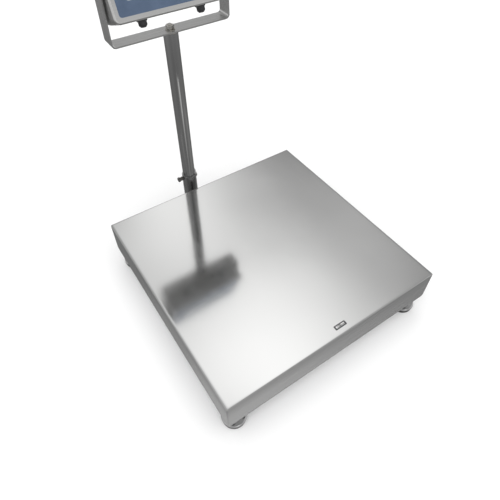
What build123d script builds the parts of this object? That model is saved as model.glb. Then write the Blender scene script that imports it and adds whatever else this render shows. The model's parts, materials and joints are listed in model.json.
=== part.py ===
from build123d import *
import math
import os

# Bench scale: a square stainless platter over a single-point load cell, four
# levelling feet, and a rear column that carries a swivelling, tilting indicator.
# Millimetres. +Z is up, +X is right along the front skirt, +Y is to the rear.
# The floor is z = 0 and the origin lies midway between the front skirt and the
# rearmost corner of the indicator.

# Driving dimensions
PLATE = 600.0                # side of the square platter
PLATE_Y = -56.69             # y of the platter's centre
PLATTER_TOP = 146.0          # height of the weighing surface
SKIRT = 92.0                 # depth of the platter's folded skirt
SHEET = 1.5                  # platter sheet thickness
SKIRT_CORNER = 12.0          # radius of the skirt's lower corners
FOOT = (268.0, 270.0)        # foot axis from the platter's centre, in x and in y
FOOT_RADIUS = 29.5
BADGE = (13.0, PLATE_Y - 280.0)
BADGE_SIZE = (32.0, 11.0)
BADGE_DEEP = 0.4             # the badge lies flush in a shallow pocket
COLUMN_X = -33.0             # the column stands left of the middle
COLUMN_Y = PLATE_Y + PLATE / 2 + 40.0
COLUMN_RADIUS = 17.5
COLUMN_TOP = 594.0
SWIVEL = 0.0                 # indicator's rest turn about the column, degrees
TILT = 20.0                  # indicator's rest lean, degrees back from upright
PIVOT_Z = 744.0              # height of the tilt axis
HOUSING = (280.0, 200.0)     # indicator's width and height
HOUSING_BACK = -42.0         # housing faces, along the display's normal from the pivot
HOUSING_SPLIT = 9.0
HOUSING_FRONT = 30.0

# Base frame
RAIL_WIDTH = 40.0
RAIL_HEIGHT = 30.0
RAIL_WALL = 2.5
RAIL_LOW = 51.0              # underside of the base frame
RAIL_MID = RAIL_LOW + RAIL_HEIGHT / 2
RAIL_TOP = RAIL_LOW + RAIL_HEIGHT
RAIL_END = FOOT[1] + RAIL_WIDTH / 2
RAIL_INSIDE = FOOT[0] - RAIL_WIDTH / 2
CELL_BEAM_Y = 60.0           # cross beams either side of the load cell
CELL_PLATE_LOW = 60.0
CELL_PLATE = 6.0

# Load cell and its spacers
CELL = (150.0, 40.0, 40.0)
CELL_LOW = 74.0
CELL_SCREWS = (44.0, 64.0)   # screw offsets from the cell's middle
SPACER = 8.0
CELL_TOP = CELL_LOW + CELL[2]

# Top frame
TOP_LOW = CELL_TOP + SPACER
TOP_WIDTH = 30.0
TOP_HEIGHT = 20.0
TOP_WALL = 2.0
TOP_BEAM_Y = 225.0
TOP_BEAM_END = 268.0
TOP_RAIL_X = 120.0
BUMPER = (250.0, TOP_BEAM_Y)
STOP = (260.0, TOP_BEAM_Y)
STOP_GAP = 0.9               # overload gap under the top frame

# Feet
BUSH_RADIUS = 11.0
BUSH_LOW = 47.0
BUSH_TOP = 85.0
STUD_RADIUS = 6.0
STUD_TOP = 88.0
JAM_NUT = 6.0
FIT = 0.1                    # radial running clearance

# Column bracket
ARM = 5.0
ARM_FRONT = PLATE_Y + 252.0
SLEEVE_RADIUS = 20.5
SLEEVE_TOP = PLATTER_TOP + 30.0
TAB_TOP = PLATTER_TOP + 38.0
TAB_HALF = 13.0              # the raised tab on the sleeve's right
CROSS_BOLTS = (92.0, PLATTER_TOP + 20.0)
DOME_RADIUS = 9.0            # mushroom heads of the cross bolts
DOME = 3.0
ARM_BOLTS = (PLATE_Y + 262.0, PLATE_Y + 280.0)

# Fasteners: shank radius, head radius across corners, head height
M8 = (4.0, 7.5, 5.5)
M8_NUT = 6.5
M10 = (5.0, 9.8, 8.0)

# Indicator
HOUSING_WALL = 2.0
GASKET = 1.5
FRONT_LOW = HOUSING_SPLIT + GASKET
YOKE_GAP = 3.0               # washer between housing and yoke arm
YOKE = 3.0
YOKE_DEPTH = 40.0
YOKE_LOW = COLUMN_TOP + 3.0
WINDOW = (170.0, 52.0)
WINDOW_Y = 38.0
KEY = (36.0, 24.0)
KEY_XS = (-84.0, -28.0, 28.0, 84.0)
KEY_Y = -45.0
KEY_NAMES = ("key_power", "key_zero", "key_tare", "key_print")
SCREW_PLACES = ((-128, -88), (128, -88), (-128, 88), (128, 88))

FOOT_PLACES = {
    "front_left": (-FOOT[0], PLATE_Y - FOOT[1]),
    "front_right": (FOOT[0], PLATE_Y - FOOT[1]),
    "rear_left": (-FOOT[0], PLATE_Y + FOOT[1]),
    "rear_right": (FOOT[0], PLATE_Y + FOOT[1]),
}

turn = math.radians(SWIVEL)
lean = math.radians(TILT)
ACROSS = (math.cos(turn), math.sin(turn), 0.0)            # along the tilt axis
FACING = (math.sin(turn), -math.cos(turn), 0.0)           # level, out of the display
NORMAL = (FACING[0] * math.cos(lean), FACING[1] * math.cos(lean), math.sin(lean))
HEAD = Plane(origin=(COLUMN_X, COLUMN_Y, PIVOT_Z), x_dir=ACROSS, z_dir=NORMAL)

os.makedirs("parts", exist_ok=True)


def write(piece, name):
    """Label a finished piece and write its STEP file."""
    piece.part.label = name
    export_step(piece.part, f"parts/{name}.step")


def level(z):
    """Horizontal plane at height z, centred under the platter."""
    return Plane((0, PLATE_Y, z))


def corners(point):
    """The point and its mirror images about the platter's two centre lines."""
    x, y = point
    return [(-x, -y), (x, -y), (-x, y), (x, y)]


# Platter

def make_platter():
    with BuildPart() as platter:
        with BuildSketch(level(PLATTER_TOP - SKIRT)):
            RectangleRounded(PLATE, PLATE, 3)
        extrude(amount=SKIRT)
        fillet(platter.faces().sort_by(Axis.Z)[-1].edges(), radius=2.5)
        with BuildSketch(level(PLATTER_TOP - SKIRT)):
            RectangleRounded(PLATE - 2 * SHEET, PLATE - 2 * SHEET, 3 - SHEET)
        extrude(amount=SKIRT - SHEET, mode=Mode.SUBTRACT)
        with BuildSketch(Plane((*BADGE, PLATTER_TOP))):
            RectangleRounded(*BADGE_SIZE, 1.5)
        extrude(amount=-BADGE_DEEP, mode=Mode.SUBTRACT)
        for outwards in ((0, -1, 0), (1, 0, 0), (0, 1, 0), (-1, 0, 0)):
            across = (-outwards[1], outwards[0], 0)
            foot_of_wall = (
                outwards[0] * PLATE / 2, PLATE_Y + outwards[1] * PLATE / 2, PLATTER_TOP - SKIRT
            )
            with BuildSketch(Plane(origin=foot_of_wall, x_dir=across, z_dir=outwards)):
                for side in (-1, 1):
                    with Locations((side * (PLATE - SKIRT_CORNER) / 2, SKIRT_CORNER / 2)):
                        Rectangle(SKIRT_CORNER, SKIRT_CORNER)
                    with Locations((side * (PLATE / 2 - SKIRT_CORNER), SKIRT_CORNER)):
                        Circle(SKIRT_CORNER, mode=Mode.SUBTRACT)
            extrude(amount=-SHEET, mode=Mode.SUBTRACT)
    write(platter, "platter")


def make_badge():
    with BuildPart() as badge:
        with BuildSketch(Plane((*BADGE, PLATTER_TOP))):
            RectangleRounded(*BADGE_SIZE, 1.5)
        extrude(amount=-BADGE_DEEP)
    write(badge, "badge")


# Frames

def make_tube(name, start, along, length, size, wall, holes=()):
    """Rectangular tube from start; holes are (x, y, radius), drilled from above."""
    width, height = size
    across = (1, 0, 0) if along == (0, 1, 0) else (0, 1, 0)
    with BuildPart() as tube:
        with BuildSketch(Plane(origin=start, x_dir=across, z_dir=along)):
            RectangleRounded(width, height, 2.5)
            Rectangle(width - 2 * wall, height - 2 * wall, mode=Mode.SUBTRACT)
        extrude(amount=length)
        for x, y, radius in holes:
            with BuildSketch(Plane((x, y, start[2] - height))):
                Circle(radius)
            extrude(amount=2 * height, mode=Mode.SUBTRACT)
    write(tube, name)


def make_base_frame():
    section = (RAIL_WIDTH, RAIL_HEIGHT)
    for name, x in (("base_rail_left", -FOOT[0]), ("base_rail_right", FOOT[0])):
        stop_x = math.copysign(STOP[0], x)
        holes = [(x, PLATE_Y + y, BUSH_RADIUS) for y in (-FOOT[1], FOOT[1])]
        holes += [(stop_x, PLATE_Y + y, M8[0] + FIT) for y in (-STOP[1], STOP[1])]
        start = (x, PLATE_Y - RAIL_END, RAIL_MID)
        make_tube(name, start, (0, 1, 0), 2 * RAIL_END, section, RAIL_WALL, holes)
    arm_holes = [(COLUMN_X, y, M8[0] + FIT) for y in ARM_BOLTS]
    gland_hole = [(COLUMN_X + 70, PLATE_Y + FOOT[1], 8.0)]
    beams = (
        ("base_beam_front", -FOOT[1], ()),
        ("base_beam_rear", FOOT[1], arm_holes + gland_hole),
        ("cell_beam_front", -CELL_BEAM_Y, ()),
        ("cell_beam_rear", CELL_BEAM_Y, ()),
    )
    for name, y, holes in beams:
        start = (-RAIL_INSIDE, PLATE_Y + y, RAIL_MID)
        make_tube(name, start, (1, 0, 0), 2 * RAIL_INSIDE, section, RAIL_WALL, holes)


def make_cell_plate():
    with BuildPart() as plate:
        with BuildSketch(Plane((-55, PLATE_Y, CELL_PLATE_LOW))):
            Rectangle(60, 2 * CELL_BEAM_Y - RAIL_WIDTH)
        extrude(amount=CELL_PLATE)
        with BuildSketch(level(CELL_PLATE_LOW)):
            with Locations([(-x, 0) for x in CELL_SCREWS]):
                Circle(M8[0] + 0.3)
        extrude(amount=CELL_PLATE, mode=Mode.SUBTRACT)
    write(plate, "cell_plate")


def make_rail_end_plugs():
    with BuildPart() as plugs:
        for side in (-1, 1):
            face = Plane(
                origin=(0, PLATE_Y + side * RAIL_END, RAIL_MID),
                x_dir=(1, 0, 0),
                z_dir=(0, side, 0),
            )
            with BuildSketch(face):
                with Locations((-FOOT[0], 0), (FOOT[0], 0)):
                    RectangleRounded(RAIL_WIDTH, RAIL_HEIGHT, 2.5)
            extrude(amount=2)
            with BuildSketch(face):
                with Locations((-FOOT[0], 0), (FOOT[0], 0)):
                    Rectangle(RAIL_WIDTH - 2 * RAIL_WALL - 0.2, RAIL_HEIGHT - 2 * RAIL_WALL - 0.2)
            extrude(amount=-6)
    write(plugs, "rail_end_plugs")


def make_foot_bushes():
    with BuildPart() as bushes:
        with BuildSketch(level(BUSH_LOW)):
            with Locations(corners(FOOT)):
                Circle(BUSH_RADIUS)
                Circle(STUD_RADIUS + FIT, mode=Mode.SUBTRACT)
        extrude(amount=BUSH_TOP - BUSH_LOW)
    write(bushes, "foot_bushes")


def make_foot_jam_nuts():
    with BuildPart() as nuts:
        with BuildSketch(level(BUSH_LOW - JAM_NUT)):
            with Locations(corners(FOOT)):
                RegularPolygon(radius=11, side_count=6)
                Circle(STUD_RADIUS + FIT, mode=Mode.SUBTRACT)
        extrude(amount=JAM_NUT)
    write(nuts, "foot_jam_nuts")


def make_stop_screws():
    with BuildPart() as screws:
        with BuildSketch(level(RAIL_LOW - M8[2])):
            with Locations(corners(STOP)):
                RegularPolygon(radius=M8[1], side_count=6)
        extrude(amount=M8[2])
        with BuildSketch(level(RAIL_LOW)):
            with Locations(corners(STOP)):
                Circle(M8[0])
        extrude(amount=TOP_LOW - STOP_GAP - RAIL_LOW)
        tips = screws.faces().filter_by(Plane.XY).group_by(Axis.Z)[-1]
        chamfer(tips.edges(), length=0.8)
    write(screws, "stop_screws")


def make_bubble_level():
    with BuildPart() as cup:
        with BuildSketch(Plane((150, PLATE_Y - FOOT[1], RAIL_TOP))):
            Circle(14)
        extrude(amount=9)
        fillet(cup.edges().group_by(Axis.Z)[-1], radius=1.2)
        with BuildSketch(Plane((150, PLATE_Y - FOOT[1], RAIL_TOP + 7))):
            Circle(10.5)
        extrude(amount=2, mode=Mode.SUBTRACT)
    write(cup, "bubble_level")


def make_base_gland():
    place = (COLUMN_X + 70, PLATE_Y + FOOT[1])
    with BuildPart() as gland:
        with BuildSketch(Plane((*place, RAIL_LOW - 5))):
            RegularPolygon(radius=12, side_count=6)
        extrude(amount=5)
        with BuildSketch(Plane((*place, RAIL_LOW - 17))):
            Circle(9.5)
        extrude(amount=12)
        fillet(gland.edges().group_by(Axis.Z)[0], radius=3)
        with BuildSketch(Plane((*place, RAIL_LOW))):
            Circle(7.8)
        extrude(amount=9)
        with BuildSketch(Plane((*place, RAIL_LOW - 20))):
            Circle(3)
        extrude(amount=40, mode=Mode.SUBTRACT)
    write(gland, "base_gland")


# Load cell

def make_cell_spacer(name, middle_x, low):
    with BuildPart() as spacer:
        with BuildSketch(Plane((middle_x, PLATE_Y, low))):
            Rectangle(46, CELL[1])
        extrude(amount=SPACER)
        with BuildSketch(level(low)):
            with Locations([(math.copysign(x, middle_x), 0) for x in CELL_SCREWS]):
                Circle(M8[0] + 0.3)
        extrude(amount=SPACER, mode=Mode.SUBTRACT)
    write(spacer, name)


def make_load_cell():
    with BuildPart() as cell:
        with BuildSketch(level(CELL_LOW)):
            Rectangle(CELL[0], CELL[1])
        extrude(amount=CELL[2])
        middle = Plane(
            origin=(0, PLATE_Y, CELL_LOW + CELL[2] / 2), x_dir=(1, 0, 0), z_dir=(0, -1, 0)
        )
        with BuildSketch(middle):
            with Locations((-17, 0), (17, 0)):
                Circle(14)
            Rectangle(34, 12)
        extrude(amount=CELL[1], both=True, mode=Mode.SUBTRACT)
        with BuildSketch(level(CELL_LOW)):
            with Locations([(-x, 0) for x in CELL_SCREWS]):
                Circle(M8[0] + FIT)
        extrude(amount=20, mode=Mode.SUBTRACT)
        with BuildSketch(level(CELL_TOP)):
            with Locations([(x, 0) for x in CELL_SCREWS]):
                Circle(M8[0] + FIT)
        extrude(amount=-20, mode=Mode.SUBTRACT)
        chamfer(cell.edges().filter_by(Axis.X), length=1)
    write(cell, "load_cell")


def make_cell_screws(name, side, seat, reach):
    """Hex screws whose heads bear on the plane at seat and point along reach."""
    direction = math.copysign(1, reach)
    with BuildPart() as screws:
        with BuildSketch(level(seat)):
            with Locations([(side * x, 0) for x in CELL_SCREWS]):
                RegularPolygon(radius=M8[1], side_count=6)
        extrude(amount=-direction * M8[2])
        with BuildSketch(level(seat)):
            with Locations([(side * x, 0) for x in CELL_SCREWS]):
                Circle(M8[0])
        extrude(amount=reach)
    write(screws, name)


# Top frame

def make_top_frame():
    section = (TOP_WIDTH, TOP_HEIGHT)
    middle = TOP_LOW + TOP_HEIGHT / 2
    for name, y in (("top_beam_front", -TOP_BEAM_Y), ("top_beam_rear", TOP_BEAM_Y)):
        start = (-TOP_BEAM_END, PLATE_Y + y, middle)
        make_tube(name, start, (1, 0, 0), 2 * TOP_BEAM_END, section, TOP_WALL)
    inside = TOP_BEAM_Y - TOP_WIDTH / 2
    for name, x in (("top_rail_left", -TOP_RAIL_X), ("top_rail_right", TOP_RAIL_X)):
        start = (x, PLATE_Y - inside, middle)
        make_tube(name, start, (0, 1, 0), 2 * inside, section, TOP_WALL)


def make_top_plate():
    with BuildPart() as plate:
        with BuildSketch(level(TOP_LOW)):
            Rectangle(2 * TOP_RAIL_X - TOP_WIDTH, 100)
            with Locations([(x, 0) for x in CELL_SCREWS]):
                Circle(M8[0] + 0.3, mode=Mode.SUBTRACT)
        extrude(amount=CELL_PLATE)
    write(plate, "top_plate")


def make_platter_bumpers():
    with BuildPart() as bumpers:
        with BuildSketch(level(TOP_LOW + TOP_HEIGHT)):
            with Locations(corners(BUMPER)):
                Circle(12)
        extrude(amount=PLATTER_TOP - SHEET - TOP_LOW - TOP_HEIGHT)
    write(bumpers, "platter_bumpers")


# Feet

def make_foot_pad(name, place):
    x, y = place
    with BuildPart() as pad:
        with BuildSketch(Plane(origin=(x, y, 0), x_dir=(1, 0, 0), z_dir=(0, -1, 0))):
            with BuildLine():
                Polyline(
                    (0, 0), (FOOT_RADIUS - 1.5, 0), (FOOT_RADIUS - 0.7, 8.5),
                    (FOOT_RADIUS, 9.5), (FOOT_RADIUS, 15), (FOOT_RADIUS - 2, 17.5),
                    (15, 22), (12, 26.5), (STUD_RADIUS + 0.5, 26.5),
                    (STUD_RADIUS + 0.5, 12), (0, 12), (0, 0),
                )
            make_face()
        revolve(axis=Axis((x, y, 0), (0, 0, 1)))
    write(pad, f"foot_pad_{name}")


def make_foot_stud(name, place):
    x, y = place
    with BuildPart() as stud:
        with BuildSketch(Plane((x, y, 12))):
            Circle(STUD_RADIUS + 0.4)
        extrude(amount=15)
        with BuildSketch(Plane((x, y, 27))):
            RegularPolygon(radius=10, side_count=6)
        extrude(amount=6)
        with BuildSketch(Plane((x, y, 33))):
            Circle(STUD_RADIUS)
        extrude(amount=STUD_TOP - 33)
        chamfer(stud.edges().group_by(Axis.Z)[-1], length=1)
    write(stud, f"foot_stud_{name}")


# Column

def make_column_bracket():
    """Arm under the rear beam, and a close sleeve around the column with a raised tab."""
    column_foot = Plane((COLUMN_X, COLUMN_Y, RAIL_LOW))
    with BuildPart() as bracket:
        with BuildSketch(Plane((COLUMN_X, 0, RAIL_LOW - ARM))):
            with Locations((0, (ARM_FRONT + COLUMN_Y) / 2)):
                Rectangle(2 * SLEEVE_RADIUS, COLUMN_Y - ARM_FRONT)
            with Locations((0, COLUMN_Y)):
                Circle(SLEEVE_RADIUS)
            with Locations([(0, y) for y in ARM_BOLTS]):
                Circle(M8[0] + 0.3, mode=Mode.SUBTRACT)
        extrude(amount=ARM)
        with BuildSketch(column_foot):
            Circle(SLEEVE_RADIUS)
            Circle(COLUMN_RADIUS + FIT, mode=Mode.SUBTRACT)
        extrude(amount=SLEEVE_TOP - RAIL_LOW)
        with BuildSketch(Plane((COLUMN_X, COLUMN_Y, SLEEVE_TOP))):
            Circle(SLEEVE_RADIUS)
            Circle(COLUMN_RADIUS + FIT, mode=Mode.SUBTRACT)
            with Locations((SLEEVE_RADIUS, 0)):
                Rectangle(2 * SLEEVE_RADIUS, 2 * TAB_HALF, mode=Mode.INTERSECT)
        extrude(amount=TAB_TOP - SLEEVE_TOP)
        with BuildSketch(Plane(origin=(COLUMN_X, COLUMN_Y, 0), x_dir=(0, 1, 0), z_dir=(1, 0, 0))):
            with Locations([(0, z) for z in CROSS_BOLTS]):
                Circle(M8[0] + 0.3)
        extrude(amount=SLEEVE_RADIUS, both=True, mode=Mode.SUBTRACT)
    write(bracket, "column_bracket")


def make_bracket_bolts():
    with BuildPart() as bolts:
        with BuildSketch(Plane((COLUMN_X, 0, RAIL_LOW - ARM - M8[2]))):
            with Locations([(0, y) for y in ARM_BOLTS]):
                RegularPolygon(radius=M8[1], side_count=6)
        extrude(amount=M8[2])
        with BuildSketch(Plane((COLUMN_X, 0, RAIL_LOW - ARM))):
            with Locations([(0, y) for y in ARM_BOLTS]):
                Circle(M8[0])
        extrude(amount=ARM + RAIL_HEIGHT + 9)
    write(bolts, "bracket_bolts")


def make_column():
    with BuildPart() as column:
        with BuildSketch(Plane((COLUMN_X, COLUMN_Y, RAIL_LOW))):
            Circle(COLUMN_RADIUS)
            Circle(COLUMN_RADIUS - 1.5, mode=Mode.SUBTRACT)
        extrude(amount=COLUMN_TOP - RAIL_LOW)
        with BuildSketch(Plane(origin=(COLUMN_X, COLUMN_Y, 0), x_dir=(0, 1, 0), z_dir=(1, 0, 0))):
            with Locations([(0, z) for z in CROSS_BOLTS]):
                Circle(M8[0] + 0.3)
        extrude(amount=SLEEVE_RADIUS, both=True, mode=Mode.SUBTRACT)
    write(column, "column")


def make_column_bolts():
    """Mushroom-head bolts across the sleeve: plain nut on the lower, thumb nut on the upper."""
    right = Plane(
        origin=(COLUMN_X + SLEEVE_RADIUS, COLUMN_Y, 0), x_dir=(0, 1, 0), z_dir=(1, 0, 0)
    )
    low, high = CROSS_BOLTS
    with BuildPart() as bolts:
        with BuildSketch(right):
            with Locations((0, low), (0, high)):
                Circle(DOME_RADIUS)
        extrude(amount=DOME)
        fillet(bolts.edges().group_by(Axis.X)[-1], radius=DOME - 0.4)
        for z, reach in ((low, 31), (high, 34)):
            with BuildSketch(right):
                with Locations((0, z)):
                    Circle(M8[0])
            extrude(amount=-(SLEEVE_RADIUS + reach))
    write(bolts, "column_bolts")


def make_m8_nuts():
    """The plain M8 nuts: on the overload stops, the arm bolts and the lower cross bolt."""
    left = Plane(
        origin=(COLUMN_X - SLEEVE_RADIUS, COLUMN_Y, CROSS_BOLTS[0]), x_dir=(0, 1, 0), z_dir=(-1, 0, 0)
    )
    stops = [(x, PLATE_Y + y) for x, y in corners(STOP)]
    arm_bolts = [(COLUMN_X, y) for y in ARM_BOLTS]
    with BuildPart() as nuts:
        for plane, places in ((Plane((0, 0, RAIL_TOP)), stops + arm_bolts), (left, [(0, 0)])):
            with BuildSketch(plane):
                with Locations(*places):
                    RegularPolygon(radius=M8[1], side_count=6)
                    Circle(M8[0] + FIT, mode=Mode.SUBTRACT)
            extrude(amount=M8_NUT)
    write(nuts, "m8_nuts")


def make_thumb_nut():
    """Slim clamping nut with a knurled head at its free end."""
    left = Plane(
        origin=(COLUMN_X - SLEEVE_RADIUS, COLUMN_Y, CROSS_BOLTS[1]), x_dir=(0, 1, 0), z_dir=(-1, 0, 0)
    )
    with BuildPart() as nut:
        with BuildSketch(left):
            Circle(5.6)
        extrude(amount=16)
        with BuildSketch(left.offset(10)):
            Circle(7)
        extrude(amount=6)
        chamfer(nut.edges().group_by(Axis.X)[0], length=0.8)
        with BuildSketch(left):
            Circle(M8[0] + FIT)
        extrude(amount=14, mode=Mode.SUBTRACT)
    write(nut, "thumb_nut")


def make_column_top_plug():
    with BuildPart() as plug:
        with BuildSketch(Plane((COLUMN_X, COLUMN_Y, COLUMN_TOP - 26))):
            Circle(COLUMN_RADIUS - 1.6)
        extrude(amount=26)
        with BuildSketch(Plane((COLUMN_X, COLUMN_Y, COLUMN_TOP))):
            Circle(COLUMN_RADIUS)
        extrude(amount=YOKE_LOW - COLUMN_TOP)
        with BuildSketch(Plane((COLUMN_X, COLUMN_Y, YOKE_LOW))):
            Circle(M10[0])
        extrude(amount=YOKE + M10[2] + 4)
        chamfer(plug.edges().group_by(Axis.Z)[-1], length=0.8)
    write(plug, "column_top_plug")


def make_swivel_nut():
    with BuildPart() as nut:
        with BuildSketch(Plane((COLUMN_X, COLUMN_Y, YOKE_LOW + YOKE))):
            Circle(M10[1] + 2)
        extrude(amount=1.6)
        with BuildSketch(Plane((COLUMN_X, COLUMN_Y, YOKE_LOW + YOKE + 1.6))):
            RegularPolygon(radius=M10[1], side_count=6)
        extrude(amount=M10[2])
        with BuildSketch(Plane((COLUMN_X, COLUMN_Y, YOKE_LOW))):
            Circle(M10[0] + FIT)
        extrude(amount=20, mode=Mode.SUBTRACT)
    write(nut, "swivel_nut")


# Indicator

def make_yoke():
    half = HOUSING[0] / 2 + YOKE_GAP + YOKE
    height = PIVOT_Z + YOKE_DEPTH / 2 - YOKE_LOW
    elevation = Plane(origin=(COLUMN_X, COLUMN_Y, YOKE_LOW), x_dir=ACROSS, z_dir=FACING)
    side = Plane(origin=(COLUMN_X, COLUMN_Y, PIVOT_Z), x_dir=FACING, z_dir=ACROSS)
    with BuildPart() as yoke:
        with BuildSketch(elevation) as outline:
            with Locations((0, height / 2)):
                Rectangle(2 * half, height)
            fillet(outline.vertices().group_by(Axis.Y)[0], radius=10)
            with BuildSketch(elevation, mode=Mode.SUBTRACT) as inside:
                with Locations((0, height / 2 + YOKE)):
                    Rectangle(2 * (half - YOKE), height)
                fillet(inside.vertices().group_by(Axis.Y)[0], radius=7)
        extrude(amount=YOKE_DEPTH / 2, both=True)
        with BuildSketch(side):
            Circle(YOKE_DEPTH / 2)
            with Locations((0, height / 2)):
                Rectangle(YOKE_DEPTH, height)
        extrude(amount=half, both=True, mode=Mode.INTERSECT)
        with BuildSketch(side):
            Circle(3.3)
        extrude(amount=half, both=True, mode=Mode.SUBTRACT)
        with BuildSketch(Plane((COLUMN_X, COLUMN_Y, YOKE_LOW))):
            Circle(M10[0] + 0.2)
        extrude(amount=YOKE, mode=Mode.SUBTRACT)
    write(yoke, "yoke")


def make_friction_washers():
    with BuildPart() as washers:
        for side in (-1, 1):
            with BuildSketch(tilt_plane(side, HOUSING[0] / 2)):
                Circle(15)
                Circle(3.4, mode=Mode.SUBTRACT)
            extrude(amount=YOKE_GAP)
    write(washers, "friction_washers")


def tilt_plane(side, distance):
    """Plane across the tilt axis, on the left (-1) or right (1), facing outwards."""
    reach = side * distance
    origin = (COLUMN_X + reach * ACROSS[0], COLUMN_Y + reach * ACROSS[1], PIVOT_Z)
    outwards = (side * ACROSS[0], side * ACROSS[1], 0)
    return Plane(origin=origin, x_dir=(0, 0, 1), z_dir=outwards)


def make_tilt_knob(name, side):
    outside = HOUSING[0] / 2 + YOKE_GAP + YOKE
    with BuildPart() as knob:
        with BuildSketch(tilt_plane(side, outside)):
            Circle(11)
        extrude(amount=6)
        with BuildSketch(tilt_plane(side, outside + 6)):
            Circle(21)
            with PolarLocations(25.5, 7):
                Circle(8, mode=Mode.SUBTRACT)
        extrude(amount=14)
        rim = knob.faces().filter_by(GeomType.PLANE).sort_by(Axis(knob.part.center(), tuple(
            tilt_plane(side, 0).z_dir)))[-1]
        fillet(rim.edges(), radius=2)
        with BuildSketch(tilt_plane(side, outside)):
            Circle(3)
        extrude(amount=-16)
    write(knob, name)


def make_rear_housing():
    width, height = HOUSING
    depth = HOUSING_SPLIT - HOUSING_BACK
    with BuildPart() as shell:
        with BuildSketch(HEAD.offset(HOUSING_BACK)):
            RectangleRounded(width, height, 12)
        extrude(amount=depth)
        fillet(shell.faces().sort_by(Axis(HEAD.origin, HEAD.z_dir))[0].edges(), radius=5)
        with BuildSketch(HEAD.offset(HOUSING_BACK + HOUSING_WALL)):
            RectangleRounded(width - 2 * HOUSING_WALL, height - 2 * HOUSING_WALL, 10)
        extrude(amount=depth, mode=Mode.SUBTRACT)
        with BuildSketch(HEAD.offset(HOUSING_BACK)):
            with Locations(*SCREW_PLACES):
                Circle(5)
        extrude(amount=depth)
        with BuildSketch(HEAD.offset(HOUSING_BACK)):
            with Locations(*SCREW_PLACES):
                Circle(2.1)
        extrude(amount=depth, mode=Mode.SUBTRACT)
        for side in (-1, 1):
            with BuildSketch(tilt_plane(side, width / 2 - 12)):
                Circle(8)
            extrude(amount=11)
            with BuildSketch(tilt_plane(side, width / 2 - 12)):
                Circle(3.05)
            extrude(amount=12, mode=Mode.SUBTRACT)
        with BuildSketch(gland_plane()):
            with Locations((-70, 0), (70, 0)):
                Circle(8)
        extrude(amount=-HOUSING_WALL, mode=Mode.SUBTRACT)
    write(shell, "rear_housing")


def gland_plane():
    """Underside of the rear housing, facing down and out."""
    down = HEAD.y_dir * -1
    origin = HEAD.origin + down * (HOUSING[1] / 2) + HEAD.z_dir * -16
    return Plane(origin=origin, x_dir=ACROSS, z_dir=down)


def make_housing_glands():
    with BuildPart() as glands:
        for circle, start, amount in ((7.8, 0, -9), (9.5, 5, 12)):
            with BuildSketch(gland_plane().offset(start)):
                with Locations((-70, 0), (70, 0)):
                    Circle(circle)
            extrude(amount=amount)
        with BuildSketch(gland_plane()):
            with Locations((-70, 0), (70, 0)):
                RegularPolygon(radius=12, side_count=6)
        extrude(amount=5)
        with BuildSketch(gland_plane().offset(20)):
            with Locations((-70, 0), (70, 0)):
                Circle(3)
        extrude(amount=-40, mode=Mode.SUBTRACT)
    write(glands, "housing_glands")


def make_housing_gasket():
    width, height = HOUSING
    with BuildPart() as gasket:
        with BuildSketch(HEAD.offset(HOUSING_SPLIT)):
            RectangleRounded(width - 0.6, height - 0.6, 12)
            RectangleRounded(width - 12, height - 12, 6, mode=Mode.SUBTRACT)
        extrude(amount=GASKET)
    write(gasket, "housing_gasket")


def make_front_housing():
    width, height = HOUSING
    depth = HOUSING_FRONT - FRONT_LOW
    with BuildPart() as shell:
        with BuildSketch(HEAD.offset(FRONT_LOW)):
            RectangleRounded(width, height, 12)
        extrude(amount=depth)
        fillet(shell.faces().sort_by(Axis(HEAD.origin, HEAD.z_dir))[-1].edges(), radius=4)
        with BuildSketch(HEAD.offset(FRONT_LOW)):
            RectangleRounded(width - 2 * HOUSING_WALL, height - 2 * HOUSING_WALL, 10)
        extrude(amount=depth - HOUSING_WALL, mode=Mode.SUBTRACT)
        with BuildSketch(HEAD.offset(FRONT_LOW)):
            with Locations(*SCREW_PLACES):
                Circle(5)
        extrude(amount=depth - HOUSING_WALL / 2)
        with BuildSketch(HEAD.offset(FRONT_LOW)):
            with Locations(*SCREW_PLACES):
                Circle(2.1)
        extrude(amount=14, mode=Mode.SUBTRACT)
        with BuildSketch(HEAD.offset(FRONT_LOW)):
            with Locations((0, WINDOW_Y)):
                RectangleRounded(*WINDOW, 3)
            with Locations([(x, KEY_Y) for x in KEY_XS]):
                RectangleRounded(KEY[0] + 0.8, KEY[1] + 0.8, 3.4)
        extrude(amount=depth, mode=Mode.SUBTRACT)
    write(shell, "front_housing")


def make_display_lens():
    with BuildPart() as lens:
        with BuildSketch(HEAD.offset(HOUSING_FRONT - HOUSING_WALL)):
            with Locations((0, WINDOW_Y)):
                Rectangle(WINDOW[0] + 8, WINDOW[1] + 8)
        extrude(amount=-2)
    write(lens, "display_lens")


def make_display_module():
    with BuildPart() as module:
        with BuildSketch(HEAD.offset(14)):
            with Locations((0, WINDOW_Y)):
                Rectangle(WINDOW[0] + 4, WINDOW[1] + 4)
        extrude(amount=12)
    write(module, "display_module")


def make_circuit_board():
    with BuildPart() as board:
        with BuildSketch(HEAD.offset(12.4)):
            Rectangle(236, 156)
        extrude(amount=1.6)
        with BuildSketch(HEAD.offset(14)):
            with Locations([(x, KEY_Y) for x in KEY_XS]):
                Circle(4)
        extrude(amount=11.2)
        with BuildSketch(HEAD.offset(12.4)):
            with Locations((-60, 20), (20, 30), (75, -20)):
                Rectangle(24, 24)
        extrude(amount=-4)
    write(board, "circuit_board")


def make_battery():
    with BuildPart() as battery:
        with BuildSketch(HEAD.offset(HOUSING_BACK + HOUSING_WALL)):
            with Locations((0, -20)):
                RectangleRounded(110, 62, 3)
        extrude(amount=30)
    write(battery, "battery")


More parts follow.
